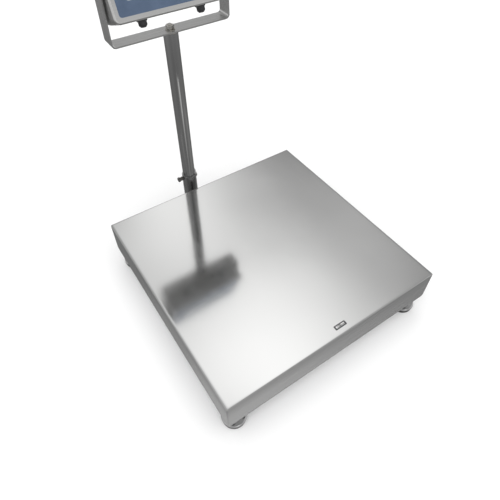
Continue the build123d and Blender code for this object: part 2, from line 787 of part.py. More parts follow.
def make_housing_screws():
    with BuildPart() as screws:
        with BuildSketch(HEAD.offset(HOUSING_BACK)):
            with Locations(*SCREW_PLACES):
                Circle(4)
        extrude(amount=-2.6)
        with BuildSketch(HEAD.offset(HOUSING_BACK)):
            with Locations(*SCREW_PLACES):
                Circle(2)
        extrude(amount=64)
    write(screws, "housing_screws")


def make_key(name, x):
    inside = HOUSING_FRONT - HOUSING_WALL
    with BuildPart() as key:
        with BuildSketch(HEAD.offset(inside - 1.6)):
            with Locations((x, KEY_Y)):
                RectangleRounded(KEY[0] + 4, KEY[1] + 4, 4)
        extrude(amount=1.5)
        with BuildSketch(HEAD.offset(inside - 1.6)):
            with Locations((x, KEY_Y)):
                RectangleRounded(*KEY, 3)
        extrude(amount=1.6 + HOUSING_WALL + 1.6)
        fillet(key.faces().sort_by(Axis(HEAD.origin, HEAD.z_dir))[-1].edges(), radius=0.7)
    write(key, name)


make_platter()
make_badge()
make_base_frame()
make_cell_plate()
make_rail_end_plugs()
make_foot_bushes()
make_foot_jam_nuts()
make_stop_screws()
make_bubble_level()
make_base_gland()
make_cell_spacer("lower_cell_spacer", -55, CELL_PLATE_LOW + CELL_PLATE)
make_cell_spacer("upper_cell_spacer", 55, CELL_TOP)
make_load_cell()
make_cell_screws("lower_cell_screws", -1, CELL_PLATE_LOW, 33)
make_cell_screws("upper_cell_screws", 1, TOP_LOW + CELL_PLATE, -33)
make_top_frame()
make_top_plate()
make_platter_bumpers()
for corner, place in FOOT_PLACES.items():
    make_foot_pad(corner, place)
    make_foot_stud(corner, place)
make_column_bracket()
make_bracket_bolts()
make_column()
make_column_bolts()
make_m8_nuts()
make_thumb_nut()
make_column_top_plug()
make_swivel_nut()
make_yoke()
make_friction_washers()
make_tilt_knob("tilt_knob_left", -1)
make_tilt_knob("tilt_knob_right", 1)
make_rear_housing()
make_front_housing()
make_housing_gasket()
make_display_lens()
make_display_module()
make_circuit_board()
make_battery()
make_housing_screws()
make_housing_glands()
for key_name, key_x in zip(KEY_NAMES, KEY_XS):
    make_key(key_name, key_x)
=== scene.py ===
import json
import math
import random

import bmesh
import bpy
from mathutils import Matrix, Vector, noise


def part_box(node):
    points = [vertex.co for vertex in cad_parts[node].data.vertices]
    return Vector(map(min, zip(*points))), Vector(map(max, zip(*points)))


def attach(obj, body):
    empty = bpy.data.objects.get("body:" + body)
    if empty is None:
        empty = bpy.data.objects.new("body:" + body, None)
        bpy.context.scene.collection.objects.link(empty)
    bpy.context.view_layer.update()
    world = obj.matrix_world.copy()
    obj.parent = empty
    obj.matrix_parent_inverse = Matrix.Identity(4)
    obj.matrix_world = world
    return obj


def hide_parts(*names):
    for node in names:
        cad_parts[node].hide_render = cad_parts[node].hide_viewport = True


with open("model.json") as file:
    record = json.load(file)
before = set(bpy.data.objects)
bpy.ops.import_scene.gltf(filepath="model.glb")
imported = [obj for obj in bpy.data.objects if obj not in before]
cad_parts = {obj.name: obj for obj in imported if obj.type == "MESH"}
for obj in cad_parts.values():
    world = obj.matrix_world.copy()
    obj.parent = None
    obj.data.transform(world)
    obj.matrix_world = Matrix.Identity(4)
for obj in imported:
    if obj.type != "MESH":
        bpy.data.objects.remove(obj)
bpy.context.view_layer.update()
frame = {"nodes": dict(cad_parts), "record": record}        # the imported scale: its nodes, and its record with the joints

# Looks of a stainless bench scale. Shapes are in millimetres, and become metres as their
# vertices are made. +Z is up, +X is right along the front skirt, +Y is to the rear, and the
# floor is z = 0.

scene = bpy.context.scene
MM = 0.001
joints = {joint["name"]: joint for joint in frame["record"]["behaviour"]["joints"]}
CORNERS = ("front_left", "front_right", "rear_left", "rear_right")
KEYS = ("key_power", "key_zero", "key_tare", "key_print")
KEY_XS = (-84, -28, 28, 84)  # key centres on the indicator's face
KEY_Y = -45
DISPLAY_Y = 38  # display centre, up the face
FACE = 30  # depth of the indicator's face, in front of its pivot
BACK = -42  # depth of its back
M8_PITCH = 1.25
MATERIALS = {}  # filled by make_materials


# Places taken from the frame

def in_mm(box):
    """Lowest and highest corner of a box in metres, in millimetres."""
    return [corner / MM for corner in box]


def solids(node):
    """Lowest and highest corner of each separate solid of a CAD node, in millimetres."""
    mesh = frame["nodes"][node].data
    spots, owner = {}, []
    for vertex in mesh.vertices:
        key = tuple(round(c, 6) for c in vertex.co)
        owner.append(spots.setdefault(key, len(spots)))
    link = list(range(len(spots)))

    def root(i):
        while link[i] != i:
            link[i] = link[link[i]]
            i = link[i]
        return i

    for polygon in mesh.polygons:
        first = root(owner[polygon.vertices[0]])
        for v in polygon.vertices[1:]:
            link[root(owner[v])] = first
    groups = {}
    for key, i in spots.items():
        groups.setdefault(root(i), []).append(key)
    boxes = []
    for points in groups.values():
        low = Vector(min(p[axis] for p in points) for axis in range(3))
        high = Vector(max(p[axis] for p in points) for axis in range(3))
        boxes.append((low, high))
    return [in_mm(box) for box in sorted(boxes, key=lambda box: tuple(box[0]))]


def middle(low, high):
    """(x, y) of a box's centre."""
    return (low.x + high.x) / 2, (low.y + high.y) / 2


def frame_at(origin, x_dir, z_dir):
    """Local frame from its origin, its X direction and its Z direction."""
    z = Vector(z_dir).normalized()
    x = Vector(x_dir).normalized()
    y = z.cross(x).normalized()
    matrix = Matrix((x, y, z)).transposed().to_4x4()
    matrix.translation = Vector(origin)
    return Matrix.Scale(MM, 4) @ matrix


def upright(x, y, z=0.0):
    """Local frame that stands upright at a point."""
    return Matrix.Scale(MM, 4) @ Matrix.Translation((x, y, z))


def flipped(place):
    """The same local frame with its Z axis the other way."""
    return place @ Matrix.Rotation(math.pi, 4, "X")


tilt = joints["indicator_tilt"]
PIVOT = Vector(tilt["pos_m"]) / MM
ACROSS = Vector(tilt["axis"]).normalized()
HEAD = frame_at(PIVOT, tilt["axis"], joints["key_zero_press"]["axis"])


def head_place(x, y, depth):
    """Frame on the indicator: x right, y up the face, depth out of it from the pivot."""
    return HEAD @ Matrix.Translation((x, y, depth))


# Materials. Noise scales are per metre, and widths and bump distances are in metres.

def add_node(tree, kind, inputs=None, **settings):
    """New node. Each input is a constant or another node's output."""
    node = tree.nodes.new("ShaderNode" + kind)
    for name, value in settings.items():
        setattr(node, name, value)
    for socket, value in (inputs or {}).items():
        if isinstance(value, bpy.types.NodeSocket):
            tree.links.new(value, node.inputs[socket])
        else:
            node.inputs[socket].default_value = value
    return node


def new_material(name, colour, metallic=0.0, roughness=0.5, **sockets):
    """A Principled material with constants on the shader's own sockets, and its node tree."""
    material = bpy.data.materials.new(name)
    material.use_nodes = True
    shader = material.node_tree.nodes["Principled BSDF"]
    shader.inputs["Base Color"].default_value = (*colour, 1.0)
    shader.inputs["Metallic"].default_value = metallic
    shader.inputs["Roughness"].default_value = roughness
    for socket, value in sockets.items():
        shader.inputs[socket].default_value = value
    return material, material.node_tree


def stretched_noise(tree, scale, detail=4.0, roughness=0.55):
    """Noise in object space, with its own scale on each axis."""
    spot = add_node(tree, "TexCoord").outputs["Object"]
    mapping = add_node(tree, "Mapping", {"Vector": spot, "Scale": scale})
    texture = add_node(tree, "TexNoise", {
        "Vector": mapping.outputs["Vector"], "Scale": 1.0, "Detail": detail, "Roughness": roughness,
    })
    return texture.outputs["Fac"]


def even_noise(tree, scale, detail, roughness=0.55):
    return stretched_noise(tree, (scale, scale, scale), detail, roughness)


def spread(tree, value, low, high, start=0.3, stop=0.7):
    """Maps a noise value to the range low to high."""
    return add_node(tree, "MapRange", {
        "Value": value, "From Min": start, "From Max": stop, "To Min": low, "To Max": high,
    }).outputs["Result"]


def maths(tree, operation, *values):
    inputs = dict(enumerate(values))
    return add_node(tree, "Math", inputs, operation=operation).outputs["Value"]


def mix_colour(tree, factor, first, second):
    """Blend of two colours, each a tuple or another node's output."""
    inputs = {"Factor": factor}
    for socket, colour in (("A", first), ("B", second)):
        inputs[socket] = (*colour, 1.0) if isinstance(colour, tuple) else colour
    return add_node(tree, "Mix", inputs, data_type="RGBA").outputs["Result"]


def into(tree, socket, value):
    """Links a node's output to a socket of the material's shader."""
    tree.links.new(value, tree.nodes["Principled BSDF"].inputs[socket])


def bump(tree, height, strength, distance):
    inputs = {"Height": height, "Strength": strength, "Distance": distance}
    into(tree, "Normal", add_node(tree, "Bump", inputs).outputs["Normal"])


def edge_wear(tree, width, strength):
    """1 along sharp edges and 0 on flats, from how far a bevelled normal turns."""
    bevelled = add_node(tree, "Bevel", {"Radius": width}, samples=3).outputs["Normal"]
    normal = add_node(tree, "NewGeometry").outputs["Normal"]
    dot = add_node(tree, "VectorMath", {0: bevelled, 1: normal}, operation="DOT_PRODUCT")
    turned_away = maths(tree, "SUBTRACT", 1.0, dot.outputs["Value"])
    patchy = spread(tree, even_noise(tree, 90, 5.0), 0.0, 9.0 * strength)
    worn = maths(tree, "MULTIPLY", turned_away, patchy)
    return add_node(tree, "Clamp", {"Value": worn}).outputs["Result"]


def brushed_steel(name, colour, roughness, grain, depth=0.25):
    """Stainless steel. grain is the noise scale on X, Y and Z, small along the brushing."""
    shade = 0.06
    material, tree = new_material(name, colour, metallic=1.0, roughness=roughness)
    lines = stretched_noise(tree, grain, 3.0, 0.7)
    smudges = even_noise(tree, 7.0, 3.0, 0.5)
    rough = maths(
        tree, "ADD",
        spread(tree, lines, -0.03, 0.035),
        spread(tree, smudges, roughness - 0.02, roughness + 0.03),
    )
    into(tree, "Roughness", rough)
    tone = maths(
        tree, "ADD",
        maths(tree, "MULTIPLY", spread(tree, lines, 0.35, 0.65), 0.7),
        spread(tree, smudges, 0.0, 0.3),
    )
    light = tuple(min(1.0, c * (1 + shade)) for c in colour)
    dark = tuple(c * (1 - shade) for c in colour)
    into(tree, "Base Color", mix_colour(tree, tone, dark, light))
    bump(tree, lines, depth, 0.00003)
    return material


def painted(name, colour, bare, roughness=0.42):
    """Powder coat with an orange-peel skin, dust in patches, and bare metal on worn edges."""
    material, tree = new_material(name, colour, roughness=roughness)
    dust = even_noise(tree, 14, 6.0)
    worn = edge_wear(tree, 0.0012, 0.6)
    dull = tuple(c * 0.86 for c in colour)
    coat = mix_colour(tree, spread(tree, dust, 0.0, 1.0), dull, colour)
    into(tree, "Base Color", mix_colour(tree, worn, coat, bare))
    into(tree, "Metallic", worn)
    into(tree, "Roughness", spread(tree, dust, roughness - 0.06, roughness + 0.1))
    bump(tree, even_noise(tree, 900, 2.0), 0.25, 0.00008)
    return material


def plated(name, colour, roughness=0.28):
    """Zinc-plated steel: cloudy colour and gloss, and fine turning marks."""
    material, tree = new_material(name, colour, metallic=1.0, roughness=roughness)
    cloud = even_noise(tree, 160, 5.0)
    warm = (colour[0] * 1.04, colour[1] * 1.0, colour[2] * 0.92)
    cool = (colour[0] * 0.84, colour[1] * 0.87, colour[2] * 0.93)
    into(tree, "Base Color", mix_colour(tree, spread(tree, cloud, 0, 1), cool, warm))
    into(tree, "Roughness", spread(tree, cloud, roughness - 0.06, roughness + 0.12))
    bump(tree, stretched_noise(tree, (400, 400, 3000), 3.0), 0.2, 0.00003)
    return material


def moulded(name, colour, roughness=0.5, grain=1400.0, depth=0.00006, scuff=0.3):
    """Moulded plastic or rubber: spark-eroded grain, uneven gloss and pale scuffed edges."""
    material, tree = new_material(name, colour, roughness=roughness)
    cloud = even_noise(tree, 30, 5.0)
    pale = tuple(min(1.0, c * 1.25 + 0.012) for c in colour)
    skin = mix_colour(tree, spread(tree, cloud, 0, 0.8), colour, pale)
    if scuff:
        scuffed = tuple(min(1.0, c * 1.8 + 0.05) for c in colour)
        skin = mix_colour(tree, edge_wear(tree, 0.0008, scuff), skin, scuffed)
    into(tree, "Base Color", skin)
    into(tree, "Roughness", spread(tree, cloud, roughness - 0.07, roughness + 0.09))
    bump(tree, even_noise(tree, grain, 3.0), 0.4, depth)
    return material


def clear_plastic(name, tint):
    """Clear moulding with faint haze and fingerprints in its gloss."""
    clear = {"IOR": 1.49, "Transmission Weight": 1.0}
    material, tree = new_material(name, tint, roughness=0.04, **clear)
    haze = even_noise(tree, 35, 6.0)
    into(tree, "Roughness", spread(tree, haze, 0.02, 0.09, 0.45, 0.75))
    return material


def make_materials():
    MATERIALS.update({
        "platter": brushed_steel("platter_steel", (0.60, 0.60, 0.595), 0.11, (1500, 6, 1500), 0.12),
        # Same steel sheet as the top. Its grain runs up the sides, and its darker base colour is painted shade.
        "skirt": brushed_steel("skirt_steel_painted_shade", (0.55, 0.55, 0.545), 0.24, (6, 6, 1500), 0.2),
        "column": brushed_steel("column_steel", (0.45, 0.45, 0.45), 0.09, (900, 900, 5), 0.12),
        # A darker copy of the column's steel: its low base colour is painted shade at the column's foot.
        "bracket": brushed_steel("bracket_steel_painted_shade", (0.34, 0.34, 0.34), 0.25, (500, 500, 8), 0.2),
        "housing": brushed_steel("housing_steel", (0.56, 0.56, 0.555), 0.27, (5, 1100, 1100), 0.2),
        "foot": brushed_steel("foot_steel", (0.50, 0.50, 0.50), 0.13, (250, 250, 2600), 0.25),
        "frame": painted("frame_paint", (0.33, 0.34, 0.35), (0.55, 0.55, 0.54)),
        "weld": plated("weld_steel", (0.42, 0.41, 0.40), 0.38),
        "zinc": plated("zinc_plate", (0.62, 0.61, 0.58)),
        # Plated steel far darker than the zinc plate, for the thumb nut.
        "dark_bolt": plated("near_black_steel", (0.17, 0.165, 0.16), 0.34),
        "cell": brushed_steel("cell_aluminium", (0.76, 0.77, 0.78), 0.34, (40, 900, 900), 0.3),
        "plastic": moulded("black_plastic", (0.018, 0.018, 0.020), 0.42),
        "rubber": moulded("black_rubber", (0.022, 0.022, 0.022), 0.68, 700.0, 0.00012, 0.5),
        "fibre": moulded("fibre_washer", (0.23, 0.20, 0.15), 0.72, 500.0, 0.0001, 0.2),
        "potting": moulded("potting_silicone", (0.62, 0.62, 0.60), 0.45, 260.0, 0.0002, 0.0),
        "level": moulded("level_plastic", (0.52, 0.55, 0.38), 0.3, 900.0, 0.00003, 0.2),
        "badge": moulded("badge_print", (0.035, 0.035, 0.038), 0.35, 1600.0, 0.00002, 0.2),
        "badge_mark": moulded("badge_mark", (0.62, 0.62, 0.61), 0.35, 1600.0, 0.00002, 0.0),
        "overlay": moulded("panel_overlay", (0.055, 0.085, 0.14), 0.38, 2200.0, 0.00004, 0.2),
        "overlay_line": moulded("panel_line", (0.50, 0.53, 0.56), 0.4, 2200.0, 0.00003, 0.0),
        "key": moulded("key_cap", (0.30, 0.33, 0.36), 0.5, 1300.0, 0.00006, 0.3),
        "key_mark": moulded("key_mark", (0.85, 0.86, 0.86), 0.5, 1300.0, 0.00003, 0.0),
        "lcd": moulded("lcd_glass", (0.40, 0.47, 0.36), 0.25, 3000.0, 0.00001, 0.0),
        "lcd_segment": moulded("lcd_segment", (0.02, 0.03, 0.025), 0.3, 3000.0, 0.00001, 0.0),
        "board": moulded("board_resist", (0.02, 0.12, 0.06), 0.35, 500.0, 0.00005, 0.0),
        "battery": moulded("battery_wrap", (0.03, 0.05, 0.13), 0.35, 300.0, 0.00008, 0.3),
        "lens": clear_plastic("lens_acrylic", (0.97, 0.98, 0.98)),
        "liquid": clear_plastic("level_liquid", (0.72, 0.95, 0.25)),
        "vial": clear_plastic("level_vial", (0.96, 0.98, 0.96)),
    })


# Mesh building

def finish_piece(name, bm, finish, body, slot, replaces=(), sharp=32, bevel=0.0):
    """Turns bm into a smooth-shaded piece that rides on a body and takes its finish; slot is not used."""
    bmesh.ops.remove_doubles(bm, verts=bm.verts, dist=1e-7)
    bmesh.ops.recalc_face_normals(bm, faces=bm.faces)
    mesh = bpy.data.meshes.new(name)
    bm.to_mesh(mesh)
    bm.free()
    mesh.materials.append(MATERIALS[finish])
    mesh.shade_smooth()
    mesh.set_sharp_from_angle(angle=math.radians(sharp))
    piece = bpy.data.objects.new(name, mesh)
    scene.collection.objects.link(piece)
    if bevel:
        soften(piece, bevel)
    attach(piece, body)
    if replaces:
        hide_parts(*replaces)
    return piece


def soften(piece, width):
    """Rounds a piece's sharp edges."""
    modifier = piece.modifiers.new("soft_edges", "BEVEL")
    modifier.width = width * MM
    modifier.segments = 2
    modifier.limit_method = "ANGLE"
    modifier.angle_limit = math.radians(40)
    modifier.harden_normals = True


def bridge(bm, first, second):
    """Faces between two closed loops of the same number of vertices."""
    count = len(first)
    for i in range(count):
        j = (i + 1) % count
        bm.faces.new((first[i], first[j], second[j], second[i]))


def closed_skin(bm, loops):
    """Faces over a stack of closed loops, with a face at each end."""
    for first, second in zip(loops, loops[1:]):
        bridge(bm, first, second)
    bm.faces.new(loops[0])
    bm.faces.new(loops[-1][::-1])


def spun(bm, place, rows, segments=48, ring=False):
    """Skin around place's Z axis through rows of (z, radius).

    A radius may be a function of the angle, and so may a z. A radius of 0 is a pole.
    With ring, the last row joins the first, as on a nut.
    """
    loops = []
    for z, radius in rows:
        if radius == 0:
            loops.append([bm.verts.new(place @ Vector((0, 0, z)))])
            continue
        loop = []
        for i in range(segments):
            angle = 2 * math.pi * i / segments
            r = radius(angle) if callable(radius) else radius
            height = z(angle) if callable(z) else z
            spot = Vector((r * math.cos(angle), r * math.sin(angle), height))
            loop.append(bm.verts.new(place @ spot))
        loops.append(loop)
    pairs = list(zip(loops, loops[1:]))
    if ring:
        pairs.append((loops[-1], loops[0]))
    for low, high in pairs:
        if len(low) == len(high):
            bridge(bm, low, high)
            continue
        for i in range(segments):
            j = (i + 1) % segments
            if len(low) == 1:
                bm.faces.new((low[0], high[j], high[i]))
            else:
                bm.faces.new((low[i], low[j], high[0]))


def turned(name, place, rows, segments, *looks, ring=False, **options):
    """A piece that is one spun skin; looks and options are finish_piece's own."""
    bm = bmesh.new()
    spun(bm, place, rows, segments, ring)
    return finish_piece(name, bm, *looks, **options)


def rounded_rows(points, radius, steps=4):
    """Rows of a turned profile with each inner corner of points rounded."""
    rows = [points[0]]
    for before, corner, after in zip(points, points[1:], points[2:]):
        a, b, c = Vector((*before, 0)), Vector((*corner, 0)), Vector((*after, 0))
        cut = min(radius, (a - b).length * 0.45, (c - b).length * 0.45)
        start, end = b + (a - b).normalized() * cut, b + (c - b).normalized() * cut
        for i in range(steps + 1):
            t = i / steps
            point = start * (1 - t) ** 2 + b * 2 * t * (1 - t) + end * t ** 2
            rows.append((point.x, point.y))
    rows.append(points[-1])
    return rows


def hex_head(bm, place, height, across_corners, bore=0.0):
    """Chamfered hexagon head or nut from place's origin up its Z axis."""
    turn = math.radians(30)
    flat = across_corners * math.cos(turn)
    face = flat * 0.97

    def outline(angle):
        return flat / math.cos((angle + turn) % (2 * turn) - turn)

    def drop(angle):
        return max(0.0, outline(angle) - face) * math.tan(turn)

    rows = [(0.0, face), (drop, outline), (lambda angle: height - drop(angle), outline), (height, face)]
    if bore:
        lip, cut = bore * 1.14, bore * 0.14
        rows = [(0.0, lip)] + rows + [(height, lip), (height - cut, bore), (cut, bore)]
        spun(bm, place, rows, 48, ring=True)
    else:
        spun(bm, place, [(0.0, 0)] + rows + [(height, 0)], 48)


def threaded(bm, place, length, radius, pitch, start=0.0):
    """Threaded rod from z = start to length, with a chamfered free end."""
    depth = pitch * 0.5
    rows = [(start, 0)]
    count = max(2, int((length - start) / pitch * 5))
    for i in range(count + 1):
        z = start + (length - start) * i / count
        end_taper = min(1.0, (length - z) / (1.2 * pitch))

        def ridge(angle, z=z, taper=end_taper):
            phase = (z / pitch - angle / (2 * math.pi)) % 1.0
            return radius - depth * (1 - taper) - depth * abs(2 * phase - 1) * taper

        rows.append((z, ridge))
    rows.append((length, 0))
    spun(bm, place, rows, 28)


def washer(bm, place, thickness, inner, outer):
    edge = thickness * 0.25
    rows = [
        (0.0, inner), (0.0, outer - edge), (edge, outer), (thickness - edge, outer),
        (thickness, outer - edge), (thickness, inner),
    ]
    spun(bm, place, rows, 40, ring=True)


def rounded_outline(width, height, radius, steps=6, centre=(0.0, 0.0)):
    """Corner-rounded rectangle as a list of points, counter-clockwise."""
    points = []
    for quarter, (sx, sy) in enumerate(((1, 1), (-1, 1), (-1, -1), (1, -1))):
        cx = centre[0] + sx * (width / 2 - radius)
        cy = centre[1] + sy * (height / 2 - radius)
        for i in range(steps + 1):
            angle = math.radians(90) * (quarter + i / steps)
            points.append((cx + radius * math.cos(angle), cy + radius * math.sin(angle)))
    return points


def plate_piece(name, place, outlines, thickness, *looks, **options):
    """Flat plate with its back on place's XY plane, cut by any outline inside another."""
    curve = bpy.data.curves.new(name, "CURVE")
    curve.dimensions = "2D"
    curve.fill_mode = "BOTH"
    curve.extrude = thickness * MM / 2
    for points in outlines:
        spline = curve.splines.new("POLY")
        spline.points.add(len(points) - 1)
        for point, (x, y) in zip(spline.points, points):
            point.co = (x * MM, y * MM, 0.0, 1.0)
        spline.use_cyclic_u = True
    holder = bpy.data.objects.new(name + "_outline", curve)
    scene.collection.objects.link(holder)
    flat = bpy.data.meshes.new_from_object(holder)
    bpy.data.objects.remove(holder)
    bm = bmesh.new()
    bm.from_mesh(flat)
    bpy.data.meshes.remove(flat)
    bmesh.ops.remove_doubles(bm, verts=bm.verts, dist=1e-6)
    bm.transform(place @ Matrix.Translation((0, 0, thickness / 2)) @ Matrix.Scale(1 / MM, 4))
    return finish_piece(name, bm, *looks, **options)


def strip_outline(points, width):
    """Outline of a line of even width through points, with square ends."""
    left, right = [], []
    for i, point in enumerate(points):
        before = Vector(points[max(0, i - 1)])
        after = Vector(points[min(len(points) - 1, i + 1)])
        along = (after - before).normalized()
        side = Vector((-along.y, along.x)) * width / 2
        left.append(tuple(Vector(point) + side))
        right.append(tuple(Vector(point) - side))
    return left + right[::-1]


def arc(radius, start, stop, steps):
    """Points along an arc about the origin, angles in degrees."""
    points = []
    for i in range(steps + 1):
        angle = math.radians(start + (stop - start) * i / steps)
        points.append((radius * math.cos(angle), radius * math.sin(angle)))
    return points


# Platter

def make_platter():
    """Folded sheet tray with a soft top bend, rounded skirt corners and a slight dish."""
    low, high = in_mm(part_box("platter"))
    half = (high.x - low.x) / 2
    centre = Vector(middle(low, high))
    sheet, bend, fold, corner, dish, lip = 1.5, 2.5, 3.0, 12.0, 2.2, 0.25
    along = [corner * t for t in (0.35, 0.5, 0.7, 0.85, 1.0)]
    along += [half * t for t in (0.08, 0.14, 0.22, 0.32, 0.44, 0.56, 0.68, 0.8, 0.92)]
    along = sorted(along + [2 * half - s for s in along] + [half])
    rim = []  # (point, outward normal, distance to the corner)
    for turn in range(4):
        spin = Matrix.Rotation(math.radians(90) * turn, 2)
        for s in along:
            rim.append((spin @ Vector((s - half, -half)), spin @ Vector((0, -1)), min(s, 2 * half - s)))
        for i in range(5):
            angle = math.radians(-90 + 90 * i / 4)
            normal = Vector((math.cos(angle), math.sin(angle)))
            point = Vector((half - fold, fold - half)) + normal * fold
            rim.append((spin @ point, spin @ normal, fold * (1 - math.cos(math.radians(45)))))

    def sag(x, y):
        u, v = x / half, y / half
        wave = noise.noise(Vector((u * 1.6, v * 1.6, 4.0))) * 0.35
        return -dish * (1 - u ** 4) * (1 - v ** 4) * (0.75 + wave)

    def bottom(distance):
        reach = max(0.0, corner - distance)
        return low.z + corner - math.sqrt(max(0.0, corner ** 2 - reach ** 2))

    def above_bottom(distance):
        return bottom(distance) + lip

    bm = bmesh.new()

    def loop(inset, height):
        points = []
        for point, normal, distance in rim:
            spot = point - normal * inset + centre
            z = height(distance) if callable(height) else height
            points.append(bm.verts.new(Vector((spot.x, spot.y, z)) * MM))
        return points

    def scaled(share, height_offset):
        points = []
        for point, normal, distance in rim:
            spot = (point - normal * bend) * share
            z = high.z + height_offset + sag(spot.x, spot.y)
            points.append(bm.verts.new(Vector((spot.x + centre.x, spot.y + centre.y, z)) * MM))
        return points

    shares = [1.0, 0.985, 0.96, 0.92, 0.87, 0.81, 0.74, 0.66, 0.57, 0.47, 0.37, 0.27, 0.17, 0.08]
    loops = [scaled(share, 0.0) for share in reversed(shares)]
    for i in range(1, 6):
        angle = math.radians(90 * i / 5)
        loops.append(loop(bend * (1 - math.sin(angle)), high.z - bend * (1 - math.cos(angle))))
    mid, fold_top = (low.z + high.z) / 2, low.z + corner * 1.1
    loops += [loop(0.0, mid), loop(0.0, fold_top), loop(0.0, above_bottom), loop(lip, bottom)]
    loops += [loop(sheet - lip, bottom), loop(sheet, above_bottom)]
    loops += [loop(sheet, fold_top), loop(sheet, high.z - bend)]
    loops += [scaled(share * 0.994, -sheet) for share in shares]
    closed_skin(bm, loops)
    # Faces on the sides take the skirt's steel, whose darker base colour is painted shade.
    for face in bm.faces:
        off_middle = abs(face.calc_center_median().z / MM - mid)
        face.material_index = int(off_middle < (high.z - low.z) / 2 - bend)
    piece = finish_piece("platter_skin", bm, "platter", "platter", "platter_steel", ("platter",), 50)
    piece.data.materials.append(MATERIALS["skirt"])


def make_badge():
    """Small printed plate near the front edge, with a plain mark of bars."""
    low, high = in_mm(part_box("badge"))
    x, y = middle(low, high)
    outline = rounded_outline(high.x - low.x, high.y - low.y, 1.5)
    plate_piece("badge_plate", upright(x, y, high.z - 0.5), [outline], 0.55, "badge", "platter", "badge",
                ("badge",), bevel=0.08)
    marks = []
    for bar_x, bar in ((-10.5, 3.2), (-6.0, 2.0), (-2.5, 1.0)):
        marks.append(rounded_outline(bar, 5.4, 0.3, 3, (bar_x, 0.0)))
    for bar_y, bar in ((1.5, 2.0), (-1.7, 1.0)):
        marks.append(rounded_outline(11, bar, 0.3, 3, (6.5, bar_y)))
    plate_piece("badge_marks", upright(x, y, high.z + 0.05), marks, 0.06, "badge_mark", "platter", "badge")


# Feet

def make_foot(corner):
    """Levelling foot: rubber sole, turned stainless cup, and a threaded stud with a hexagon."""
    low, high = in_mm(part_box(f"foot_pad_{corner}"))
    x, y = middle(low, high)
    radius = (high.x - low.x) / 2
    place = upright(x, y)
    body = f"foot_{corner}"
    sole = [(0.0, 0.0), (0.0, radius - 3.6), (0.6, radius - 1.7)]
    for i in range(4):
        z = 1.6 + 1.7 * i
        sole += [(z, radius - 1.5), (z + 0.9, radius - 1.3), (z + 1.1, radius - 2), (z + 1.5, radius - 2)]
    sole += [(8.6, radius - 1.4), (9.2, radius - 1.8), (9.2, 0.0)]
    turned(f"foot_sole_{corner}", place, sole, 72, "rubber", body, "foot_steel", (f"foot_pad_{corner}",))
    cup = rounded_rows([
        (9.3, 12), (9.3, radius - 0.6), (10.3, radius), (14.6, radius), (17, radius - 2.4),
        (18.6, radius - 8), (21.5, 15.5), (23.5, 12.8), (26.4, 11.8), (26.4, 6.6), (12.5, 6.6), (12.5, 12),
    ], 1.3)
    turned(f"foot_cup_{corner}", place, cup, 80, "foot", body, "foot_steel", sharp=40, ring=True)

    low, high = in_mm(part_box(f"foot_stud_{corner}"))
    hexagon, thread = 27, 33  # heights where the hexagon and the thread start
    bm = bmesh.new()
    spun(bm, place, [(low.z, 0), (low.z, 6.2), (hexagon, 6.2), (hexagon, 0)], 32)
    hex_head(bm, upright(x, y, hexagon), thread - hexagon, 10)
    threaded(bm, upright(x, y, thread), high.z - thread, 6, 1.75)
    finish_piece(f"stud_{corner}", bm, "zinc", f"stud_{corner}", "fastener_steel",
                 (f"foot_stud_{corner}",))


# Fasteners

def make_jam_nuts():
    bm = bmesh.new()
    for low, high in solids("foot_jam_nuts"):
        hex_head(bm, upright(*middle(low, high), low.z), high.z - low.z, 11, 6.1)
    finish_piece("jam_nuts", bm, "zinc", "base", "fastener_steel", ("foot_jam_nuts",))


def make_bolts(name, node, body, head_down):
    """M8 hexagon bolts that stand on their heads or hang from them."""
    head = 5.5
    bm = bmesh.new()
    for low, high in solids(node):
        x, y = middle(low, high)
        place = upright(x, y, low.z) if head_down else flipped(upright(x, y, high.z))
        hex_head(bm, place, head, 7.5)
        threaded(bm, place, high.z - low.z, 4, M8_PITCH, head)
    finish_piece(name, bm, "zinc", body, "fastener_steel", (node,))


def make_cross_bolts():
    """Domed bolts through the sleeve and the column, from the right."""
    bm = bmesh.new()
    sleeve_x = in_mm(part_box("column_bracket"))[1].x
    for low, high in solids("column_bolts"):
        origin = (sleeve_x, (low.y + high.y) / 2, (low.z + high.z) / 2)
        place = frame_at(origin, (0, 1, 0), (1, 0, 0))
        rows = [(0.0, 0), (0.0, 9), (0.5, 9)]
        for i in range(1, 6):
            angle = math.radians(15 * i)
            rows.append((0.5 + 2.5 * math.sin(angle), 9 * math.cos(angle)))
        spun(bm, place, rows + [(3.0, 0)])
        threaded(bm, flipped(place), sleeve_x - low.x, 4, M8_PITCH)
    finish_piece("cross_bolts", bm, "zinc", "base", "fastener_steel", ("column_bolts",))


def make_nuts():
    """Plain M8 nuts, flat or on edge, and the washer and nut that hold the swivel."""
    bm = bmesh.new()
    for low, high in solids("m8_nuts"):
        centre, size = (low + high) / 2, high - low
        if size.x < size.z:
            place = frame_at((high.x, centre.y, centre.z), (0, 1, 0), (-1, 0, 0))
        else:
            place = upright(centre.x, centre.y, low.z)
        hex_head(bm, place, min(size), 7.5, 4.1)
    finish_piece("plain_nuts", bm, "zinc", "base", "fastener_steel", ("m8_nuts",))

    low, high = in_mm(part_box("swivel_nut"))
    x, y = middle(low, high)
    under = 1.6  # washer thickness
    bm = bmesh.new()
    washer(bm, upright(x, y, low.z), under, 5.2, (high.x - low.x) / 2)
    hex_head(bm, upright(x, y, low.z + under), high.z - low.z - under, 9.8, 5.1)
    finish_piece("swivel_lock_nut", bm, "zinc", "base", "fastener_steel", ("swivel_nut",))


